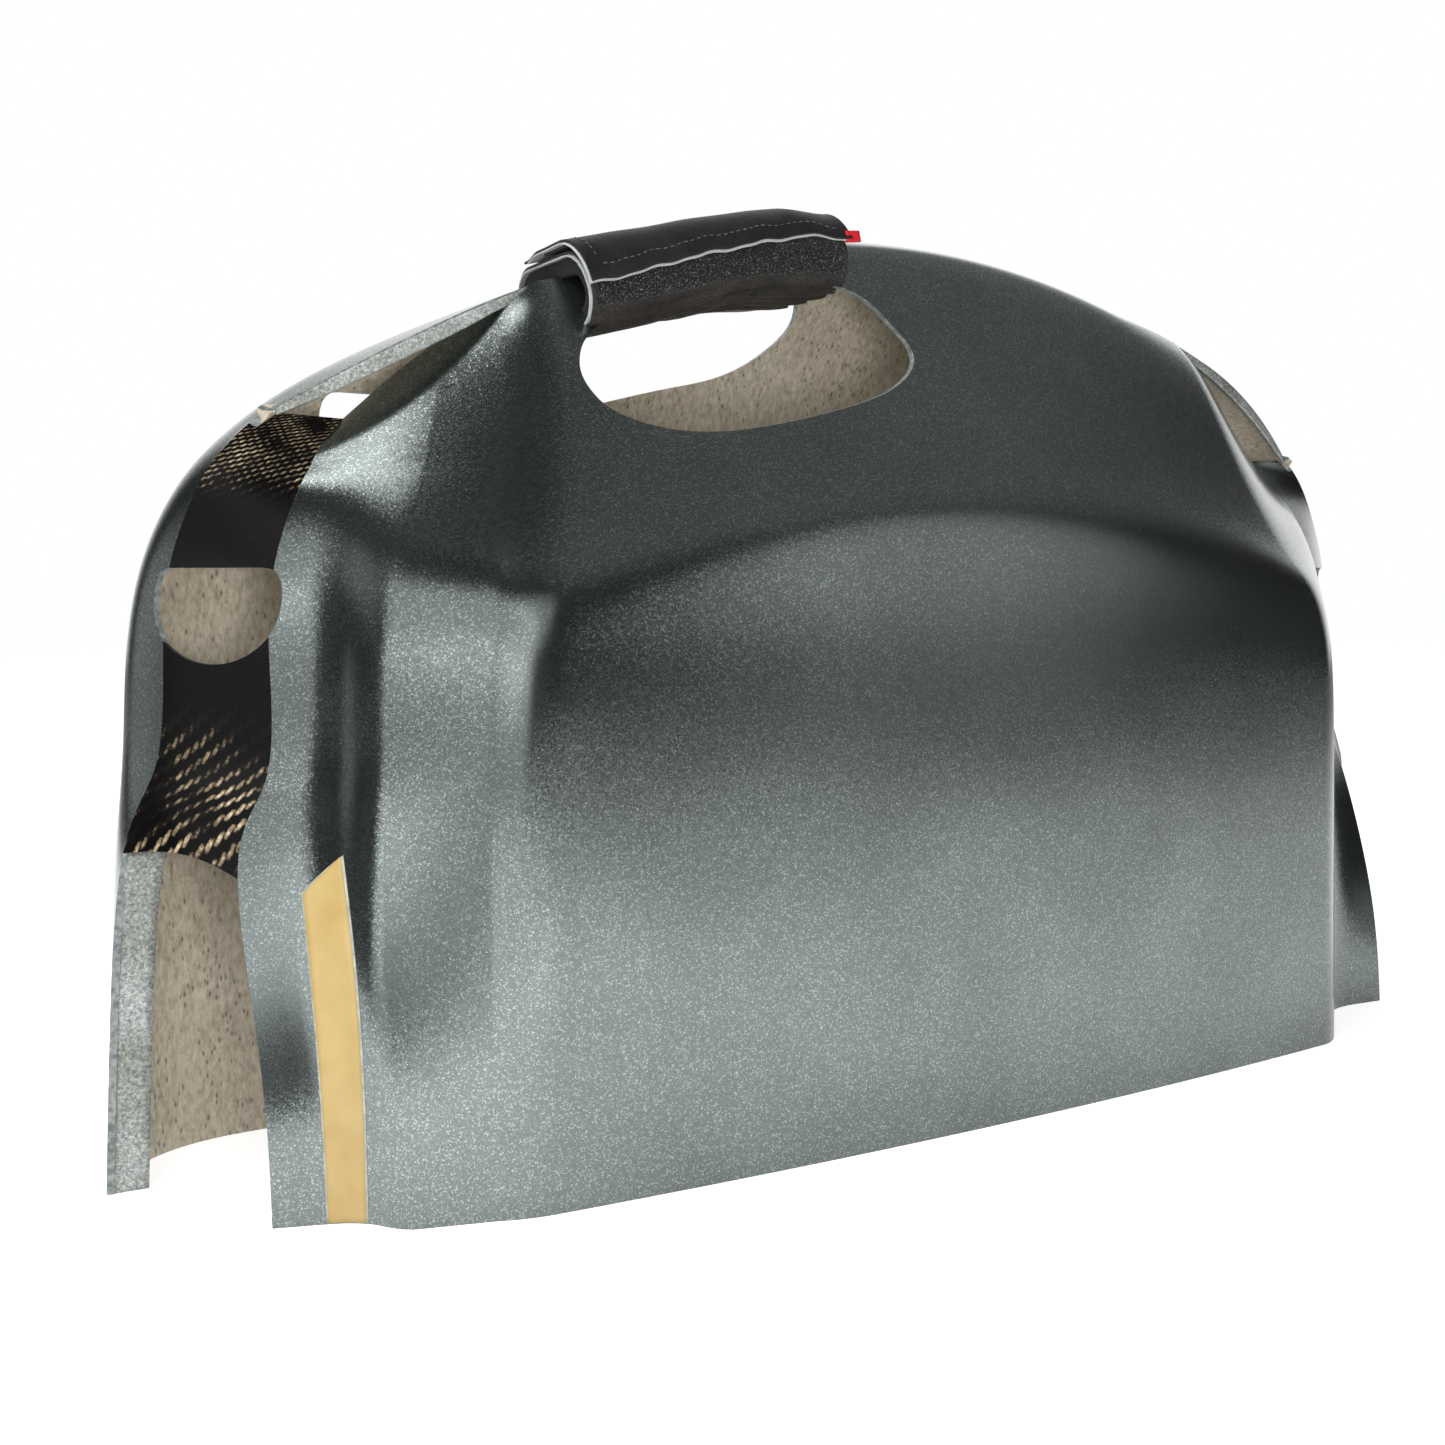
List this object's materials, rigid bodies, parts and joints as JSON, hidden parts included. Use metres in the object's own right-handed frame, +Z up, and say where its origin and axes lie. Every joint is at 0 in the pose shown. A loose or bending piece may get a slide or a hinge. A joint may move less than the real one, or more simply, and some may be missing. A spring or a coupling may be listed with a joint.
{
  "type": "racing seat shell",
  "caption": "Open-bottomed moulded composite shell with a bulged front, side arches, shoulder slots and a wrapped hand grip whose flap peels open.",
  "frame": {"origin": "on the floor under the middle of the shell's footprint", "axes": "+X to the side away from the grip, across the shell; +Y from the bulged front to the back; +Z up"},
  "size_m": [0.636, 0.1442, 0.3583],
  "materials": {
    "metallic_paint": "coarse metallic flake paint under clear coat, on glass and carbon laminate",
    "carbon_twill": "2x2 twill carbon under clear coat",
    "raw_core_mat": "raw fibre and core mat soaked with resin",
    "gold_film": "satin gold vinyl",
    "pale_edge_film": "thin pale line",
    "foam": "soft foam",
    "felt": "pale felt lining",
    "leather": "black grained leather",
    "hook_and_loop": "black hook and loop tape",
    "thread": "waxed thread",
    "red_ribbon": "woven red ribbon"
  },
  "bodies": {
    "shell": {"front_shell": "metallic_paint", "rear_shell": "metallic_paint", "left_upper_band": "carbon_twill", "left_arch_hood": "carbon_twill", "right_upper_band": "metallic_paint", "right_arch_hood": "metallic_paint", "front_core_mat": "raw_core_mat", "rear_core_mat": "raw_core_mat", "stripe_decal": "gold_film", "stripe_border": "pale_edge_film", "grip_padding": "foam", "grip_felt": "felt", "grip_leather": "leather", "hook_tape": "hook_and_loop", "grip_end_stitching": "thread"},
    "flap": {"flap_leather": "leather", "flap_felt": "felt", "loop_tape": "hook_and_loop", "flap_stitching": "thread", "pull_tab": "red_ribbon"}
  },
  "joints": [
    {"name": "flap_hinge", "type": "hinge", "parent": "shell", "child": "flap", "pos_m": [-0.10181, 0.025, 0.34543], "axis": [-0.9748, 0, -0.2233], "range_deg": [0, 150]}
  ]
}
